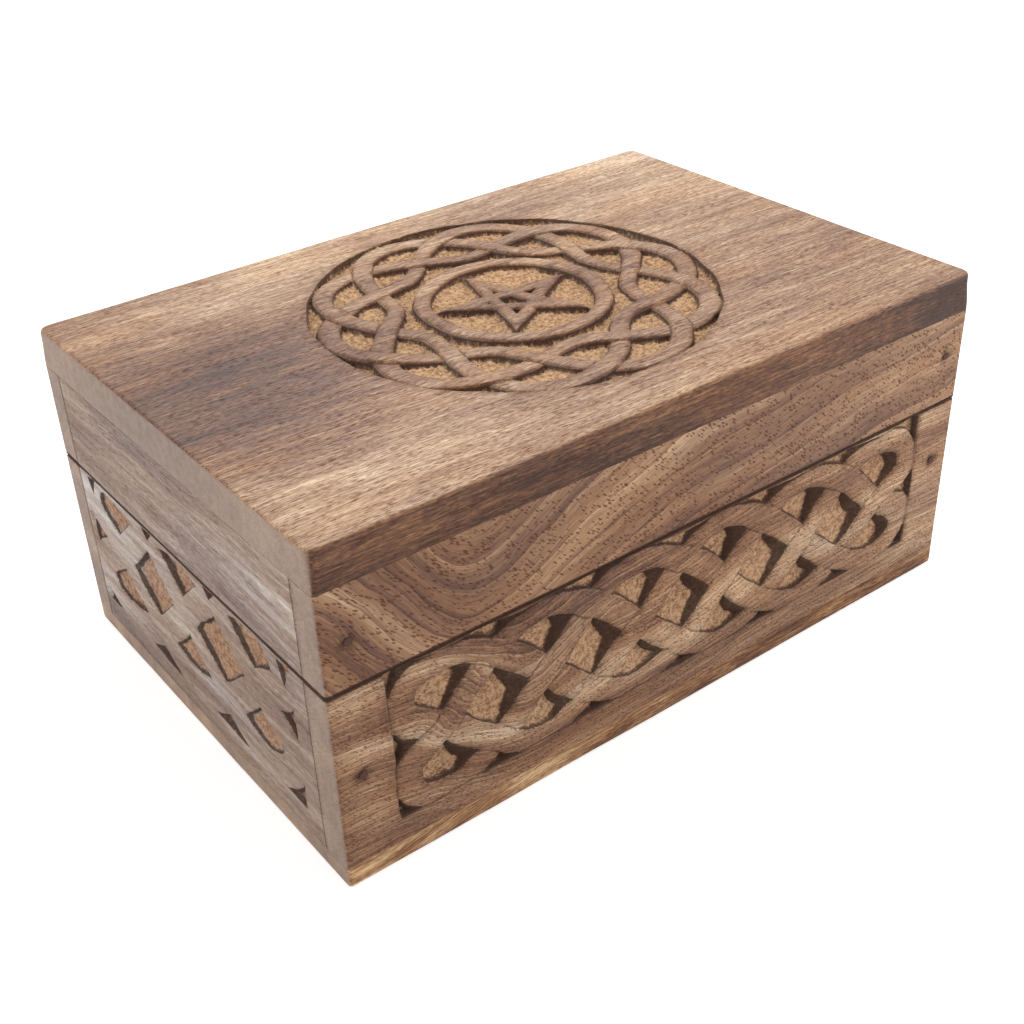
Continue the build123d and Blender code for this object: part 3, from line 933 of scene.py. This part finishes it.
# ---- Wood ----
WOOD_TONES = ((0.0, srgb(66, 44, 37)), (0.3, srgb(115, 81, 64)), (0.55, srgb(156, 118, 89)),
              (0.8, srgb(194, 161, 131)), (1.0, srgb(228, 203, 174)))
# The second tint browns faces toward the front, as painted shade.
YELLOWER, FRONT_SHADE_TINT = (1.05, 0.97, 0.86), (1.04, 0.96, 0.80)
PORE_WOOD = srgb(98, 62, 52)
# Dark stain, and painted shade at the seam, in grooves and on the carving's walls.
STAIN_AND_SHADE_WOOD = srgb(70, 52, 44)
END_GRAIN, END_DARK = srgb(176, 156, 142), srgb(150, 130, 118)
RAW_LIGHT, RAW_DARK = srgb(202, 164, 128), srgb(146, 106, 80)

# Which of x, y and z run along the grain, up across it and through the board.
GRAINS = {"x": (0, 2, 1), "x_flat": (0, 1, 2), "y": (1, 2, 0)}

# The layers of the figure: length along the grain, width across it, where in the noise each is
# read, its detail and its roughness.
BAND = (46, 1.9, 7.7, 4.0, 0.65)
THREAD = (7, 0.36, 1.3, 3.0, 0.6)
FLECK = (1.6, 0.42, 4.6, 2.0, 0.6)
HUE = (40, 9, 12.5, 2.0, 0.5)
CROWD = (14, 3.0, 9.2, 2.0, 0.6)
GRIT = (0.9, 4.0, 0.7)  # the carved floors' crumbs: size, detail and roughness


def humps(total, along, across, spots):
    """Adds a soft rise round each spot: place along, height, length, depth and rise."""
    for place, height, length, depth, rise in spots:
        square = ((along - place) / length) ** 2.0 + ((across - height) / depth) ** 2.0
        total = total + along.tree.math("EXPONENT", square * -1.0) * rise
    return total


class Wood(Shader):
    """Waxed mango wood."""

    def __init__(self, name, grain, seed, bends, wander):
        super().__init__(name)
        self.spot, self.seed = self.place(), seed
        normal = self.split(self.value("TexCoord", "Normal"))
        self.along, self.across, self.through = (self.spot[axis] for axis in GRAINS[grain])
        # Faces toward the front, where painted shade goes.
        self.front_shade_mask = self.step(normal[1] * -1.0, 0.3, 0.9)
        self.end = self.step(abs(normal[GRAINS[grain][0]]), 0.55, 0.95)
        slow = self.noise(self.vector(self.along / 30 + seed, self.across / 12, 0.0), 2.0)
        self.bent = slow * (2 * wander) + humps(self.across, self.along, self.across, bends)

    def stretched(self, length, width, offset, line=None):
        """A place for reading a texture that is drawn out along the grain."""
        return self.vector(self.along / length + (self.seed + offset),
                           (line or self.bent) / width, self.through / width)

    def layer(self, length, width, offset, detail, roughness):
        return self.noise(self.stretched(length, width, offset), detail, roughness)

    def figure(self, tone, broad, ribbon, fibre, rings, patches, cloud, edge, warm):
        """The colour of the uncut wood, with painted shade on faces toward the front where edge
        asks for it, and the painted sheen and shade among the top's patches.
        """
        smoke, fleck = self.layer(*cloud, 3.1, 3.0, 0.55), self.layer(*FLECK)
        shade = humps(tone, self.along, self.across, patches)
        # Painted shade on faces toward the front.
        if edge:
            shade = self.front_shade_mask * edge + shade
        for layer, strength in ((smoke, 2.0 * broad), (self.band, 1.3 * ribbon),
                                (self.thread, 0.9 * fibre), (fleck, 0.35 * fibre + 0.15)):
            shade = (layer - 0.5) * strength + shade
        spacing, strength = rings
        if strength:
            count = self.band * 0.35 + (self.through * 0.8 + self.bent) / spacing
            part = self.math("FRACT", count)
            late = self.math("EXPONENT", part * -9.0)
            early = self.step(part, 0.72, 0.98)
            shade = early * (0.22 * strength) + (late * (-0.42 * strength) + shade)
        color = self.ramp(shade, WOOD_TONES)
        color = self.blend(self.step(self.layer(*HUE), 0.35, 0.65), color,
                           self.tint(color, YELLOWER))
        color = self.tint(color, warm)
        # The painted shade on faces toward the front is browner too.
        if edge:
            color = self.blend(self.front_shade_mask, color, self.tint(color, FRONT_SHADE_TINT))
        cut_end = self.blend(self.step(self.band, 0.35, 0.7), END_GRAIN, END_DARK)
        return self.blend(self.end * 0.7, color, cut_end)

    def pores(self, length, width, slant):
        """Where the wood is open in pores, 1 within one."""
        line = None if slant is None else self.along * slant + self.across
        away, chance = self.cells(self.stretched(1.15 * length, 1.5 * width, 5.9, line))
        size = chance * 0.18 + self.crowd * 0.4
        return self.step(away - size, 0.06, -0.06) * (self.end * -0.75 + 1.0)

    def carving(self, color, hole, raw, strand_edge_shade):
        """Adds the bare floors and the dark walls of the carving, stain and painted shade, painted
        shade beside its edges, and the dark wax in joints, with painted shade at the seam and in
        grooves.
        Gives the colour, and where the wood is bare and where stained or shaded."""
        fresh = self.tint(self.blend(self.step(self.grit, 0.36, 0.60), RAW_DARK, RAW_LIGHT), raw)
        fresh = self.blend(hole * 0.5, fresh, PORE_WOOD)
        reach, carved = self.attribute("reach"), self.attribute("carved")
        past = (self.grit - 0.5) * 0.9 + (reach - self.attribute("run"))
        bare = carved * self.step(past, -0.2, 0.25)
        # Dark stain and painted shade on the pockets' walls.
        wall = self.step(reach, -0.15, 0.08) * self.step(past, 0.22, -0.25)
        wall = wall * (self.grit * 0.4 + 0.70)
        # Painted shade on the strands beside the pockets, in patches.
        painted_edge_shade = self.step(reach, -1.7, 0.1) * self.step(past, 0.1, -0.1)
        painted_edge_shade = painted_edge_shade * self.step(self.crowd, 0.2, 0.7)
        wall = carved * wall.max(painted_edge_shade * strand_edge_shade)
        stain_and_shade = self.attribute("stain_and_shade") * (self.grit * 0.5 + 0.70)
        stain_and_shade.socket.node.use_clamp = True
        stain_and_shade = stain_and_shade.max(wall)
        color = self.blend(bare * 0.85, color, fresh)
        return self.blend(stain_and_shade, color, STAIN_AND_SHADE_WOOD), bare, stain_and_shade


def wood(name, grain, seed, tone=0.55, broad=1.0, ribbon=0.8, fibre=0.8, rings=(6.0, 0.0),
         pores=(0.6, 1.5, 0.3), bends=(), patches=(), wander=2.0, warm=(1.0, 1.0, 1.0),
         cloud=(90, 11), raw=(1.0, 1.0, 1.0), strand_edge_shade=0.42, edge=0.0, slant=None):
    """Waxed mango wood. tone is its mean shade from 0 to 1, then come the strengths of its broad
    bands, ribbons and fibres. rings gives the growth lines' spacing and strength, and pores their
    strength, length and width. bends raises the grain and patches its shade, as humps does, and
    wander is how far the grain wavers. warm tints the wood, and cloud is the length and width of
    its broad bands. raw tints the carving's floor, and soil is the strength of the painted shade
    beside its edges. edge adds to the shade where the board faces the front and browns it there,
    as painted shade on that side. slant is how steeply the pores fall along the grain, when they
    don't follow the growth lines."""
    shader = Wood(name, grain, seed, bends, wander)
    shader.band, shader.thread = shader.layer(*BAND), shader.layer(*THREAD)
    shader.crowd, shader.grit = shader.layer(*CROWD), shader.lumps(shader.spot, *GRIT)
    strength, length, width = pores
    hole = shader.pores(length, width, slant)
    color = shader.figure(tone, broad, ribbon, fibre, rings, patches, cloud, edge, warm)
    color = shader.blend(hole * strength, color, PORE_WOOD)
    color, bare, stain_and_shade = shader.carving(color, hole, raw, strand_edge_shade)
    dull = bare.max(stain_and_shade).max(hole)
    shader.surface({
        "Base Color": color,
        "Roughness": dull * 0.35 + (shader.thread * 0.16 + 0.38),
        "Specular IOR Level": dull * -0.3 + 0.36,
    })
    shader.bump(shader.grit * bare * 2.4 + (hole * -1.2 + shader.thread), 0.06, 0.6)
    return shader.material


# A cool grey tint for the boards that face left, a painted sheen.
LEFT_SHEEN_TINT = (0.98, 1.27, 1.85)
BOWL = ((-50, 55, 11, 30, 15), (-37, 55, 12, 30, 11), (-20, 55, 16, 30, 7), (-79, 55, 11, 40, -16),
        (86, 50, 55, 40, -9))
EYE = ((-38, 20, 16, 20, 11), (-6, 20, 26, 18, 8), (-53, 23, 5, 4, 3))
# Of the top's patches, the two toward the back and right are a painted sheen and the thin one along
# the front edge painted shade; the others are the wood's own tone.
TOP_TONES_AND_PAINTED_LIGHT = ((-66, 2, 34, 26, -0.32), (-60, -42, 30, 9, 0.04), (78, 30, 45, 40, 0.24),
              (66, -22, 30, 4, -0.12), (0, 52, 70, 18, 0.14), (50, -52, 50, 2.2, -0.12))
RAIL_SHADES = ((-62, 52, 20, 14, -0.08), (60, 52, 30, 14, 0.20))
PANEL_SHADES = ((-71, 20, 5, 40, 0.12), (71, 20, 5, 40, -0.02))
FOOT_SHADES = ((-60, 2, 40, 5, 0.16), (62, 2, 36, 5, -0.20))

plain_wood = wood("wood_inside", "x", 41, tone=0.62, broad=0.6, ribbon=0.6, pores=(0.5, 1.5, 0.26))
plain_end_wood = wood("wood_inside_ends", "y", 42, tone=0.60, broad=0.6, ribbon=0.6,
                      pores=(0.4, 1.5, 0.26))
woods = {
    "lid_top_board": wood(
        "wood_top", "x_flat", 3, broad=0.5, ribbon=0.4, fibre=1.3, pores=(0.6, 1.6, 0.14),
        cloud=(60, 16), bends=((-78, 0, 60, 70, -4),), patches=TOP_TONES_AND_PAINTED_LIGHT, wander=1.4,
        raw=(1.34, 1.40, 1.36), strand_edge_shade=0.36, edge=-0.36),
    "lid_front_rail": wood(
        "wood_lid_front", "x", 11, tone=0.48, broad=0.7, ribbon=0.25, fibre=0.7, rings=(6.2, 0.42),
        pores=(0.75, 1.05, 0.40), slant=0.7, bends=BOWL, patches=RAIL_SHADES, wander=2.5),
    "lid_back_rail": wood("wood_lid_back", "x", 12, rings=(5.5, 0.6), pores=(0.9, 1.3, 0.32)),
    "lid_left_rail": wood("wood_lid_left", "y", 13, tone=0.56, broad=0.6, ribbon=0.6,
                          pores=(0.08, 2.0, 0.2), warm=LEFT_SHEEN_TINT),
    "lid_right_rail": wood("wood_lid_right", "y", 14, broad=0.7, pores=(0.3, 2.0, 0.3)),
    "base_front_panel": wood(
        "wood_base_front", "x", 21, broad=0.8, ribbon=0.4, rings=(1.2, 0.7),
        pores=(0.6, 0.75, 0.28), slant=0.5, bends=EYE, patches=PANEL_SHADES, wander=2.5),
    "base_back_panel": wood("wood_base_back", "x", 22, rings=(5, 0.6), pores=(0.9, 1.0, 0.3)),
    "base_left_panel": wood(
        "wood_base_left", "y", 23, tone=0.56, broad=0.7, ribbon=0.5, fibre=0.7,
        pores=(0.08, 2.0, 0.2), warm=LEFT_SHEEN_TINT, raw=(0.90, 0.88, 0.92), strand_edge_shade=0.1),
    "base_right_panel": wood("wood_base_right", "y", 24, broad=0.7, pores=(0.3, 2.0, 0.3)),
    "base_bottom_board": wood(
        "wood_bottom", "x", 31, tone=0.52, broad=0.9, fibre=1.4, rings=(0.6, 0.9),
        pores=(0.4, 2.0, 0.24), warm=(1.04, 0.93, 0.74), cloud=(22, 5),
        bends=((-90, 2, 50, 20, 5),), patches=FOOT_SHADES),
}

for board_body, suffix in (("base", "panel"), ("lid", "rail")):
    for board_side in ("front", "back", "left", "right"):
        make_panel(f"{board_body}_{board_side}_{suffix}", board_side, board_body)
make_flat("lid_top_board", "top", "lid", TOP_CORNER,
          ((BOX_TOP, TOP_EASE), (TOP_UNDERSIDE, JOINT_EASE)), (2.5, 4, 6), Medallion(),
          MEDALLION_OFFSET)
make_flat("base_bottom_board", "bottom", "base", CORNER_RADIUS,
          ((0.0, FOOT_EASE), (BOARD_FOOT, JOINT_EASE)), (2, 3.2))


# ---- Metal and filler ----
def tarnished_brass():
    """Aged brass, with darker tarnish in patches and fine lines along it."""
    shader = Shader("brass")
    x, y, z = place = shader.place()
    patch = shader.step(shader.lumps(place, 3.0, 4.0, 0.6), 0.42, 0.66)
    fine = shader.noise(shader.vector(x * 0.4, y * 5.0, z * 5.0), 2.0)
    shader.surface({
        "Base Color": shader.blend(patch, srgb(196, 156, 88), srgb(120, 88, 48)),
        "Metallic": 1.0,
        "Roughness": fine * 0.2 + 0.28,
    })
    shader.bump(fine, 0.02, 0.4)
    return shader.material


def filled_nail():
    """Steel, with dark filler over the last of it where a nail ends near the box's outside."""
    shader = Shader("nail_and_filler")
    _, y, z = place = shader.place()
    from_face = HALF_DEPTH - abs(y - MIDDLE_Y)
    shallow, deep = FILLER_DEPTH - 0.1, FILLER_DEPTH + 0.1
    cover = shader.step(from_face, deep, shallow).max(shader.step(z, deep, shallow))
    lumps = shader.lumps(place, 0.7, 3.0, 0.6)
    shader.surface({
        "Base Color": shader.blend(cover, srgb(120, 112, 104),
                                   shader.blend(lumps, srgb(70, 48, 40), PORE_WOOD)),
        "Metallic": 1.0 - cover,
        "Roughness": cover * 0.4 + 0.5,
    })
    shader.bump(lumps, 0.1, 0.6)
    return shader.material


brass, nail = tarnished_brass(), filled_nail()
for node_name, node_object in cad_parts.items():
    finish = brass if node_name.startswith("hinge") else nail if "nails" in node_name else None
    if finish:
        node_object.data.materials.clear()
        node_object.data.materials.append(finish)

# ---- Floor, light and camera ----
FLOOR_REACH = 6.0  # metres from the middle to each side of the floor
FLOOR_TONE = (0.82, 0.82, 0.82, 1.0)
GLOW = 0.55  # the floor's glow where it is seen, and the world's light elsewhere

# Name, place, target, diameter and watts of each lamp, in metres.
LAMPS = (("key", (0.30, 0.45, 0.75), (0, 0, 0.03), 0.6, 3.6),
         ("window", (0.50, -0.42, 0.32), (0.02, 0, 0.03), 0.45, 2.2),
         ("left", (-0.75, 0.15, 0.45), (0, 0, 0.03), 0.6, 2.0))

CAMERA_PLACE = (-153.337, -206.638, 184.511)
CAMERA_HEADING = 53.678  # from x toward y
CAMERA_DIP = 32.637  # below the horizon
CAMERA_ROLL = -2.244
CAMERA_LENS = 50.507  # on a 36 mm sensor


def make_floor():
    mesh = bpy.data.meshes.new("floor")
    r = FLOOR_REACH
    mesh.from_pydata([(-r, -r, 0), (r, -r, 0), (r, r, 0), (-r, r, 0)], [], [(0, 1, 2, 3)])
    floor = bpy.data.objects.new("floor", mesh)
    bpy.context.scene.collection.objects.link(floor)
    shader = Shader("floor_white")
    shader.surface({"Base Color": FLOOR_TONE, "Roughness": 0.9, "Specular IOR Level": 0.0})
    seen = shader.ray("Camera").max(shader.ray("Transmission"))
    glow = shader.add("Emission", {"Strength": seen * GLOW})
    both = shader.add("AddShader", {0: shader.bsdf.outputs[0], 1: glow.outputs[0]})
    shader.put(shader.output.inputs["Surface"], both.outputs[0])
    mesh.materials.append(shader.material)


def make_world():
    """White where the camera or a reflection sees it, and dimmer as a light."""
    world = bpy.data.worlds.new("studio")
    bpy.context.scene.world = world
    tree = Tree(world)
    seen = tree.ray("Camera").max(tree.ray("Glossy"))
    back = tree.add("Background", {"Color": (1, 1, 1, 1), "Strength": seen * (1 - GLOW) + GLOW})
    tree.add("OutputWorld", {"Surface": back.outputs[0]})


def area_light(name, place, target, size, watts):
    lamp = bpy.data.lights.new(name, "AREA")
    lamp.shape, lamp.size, lamp.energy = "DISK", size, watts
    light = bpy.data.objects.new(name, lamp)
    light.location = place
    light.rotation_mode = "QUATERNION"
    light.rotation_quaternion = (Vector(target) - Vector(place)).to_track_quat("-Z", "Y")
    bpy.context.scene.collection.objects.link(light)


def make_camera():
    camera = bpy.data.cameras.new("camera")
    camera.lens, camera.sensor_width, camera.clip_start = CAMERA_LENS, 36.0, 0.01
    eye = bpy.data.objects.new("camera", camera)
    place = Matrix.Translation(Vector(CAMERA_PLACE) * MM)
    for angle, axis in ((CAMERA_HEADING - 90, "Z"), (90 - CAMERA_DIP, "X"), (CAMERA_ROLL, "Z")):
        place = place @ Matrix.Rotation(math.radians(angle), 4, axis)
    eye.matrix_world = place
    bpy.context.scene.collection.objects.link(eye)
    bpy.context.scene.camera = eye


make_floor()
make_world()
for lamp in LAMPS:
    area_light(*lamp)
make_camera()
bpy.context.scene.view_settings.view_transform = "Standard"
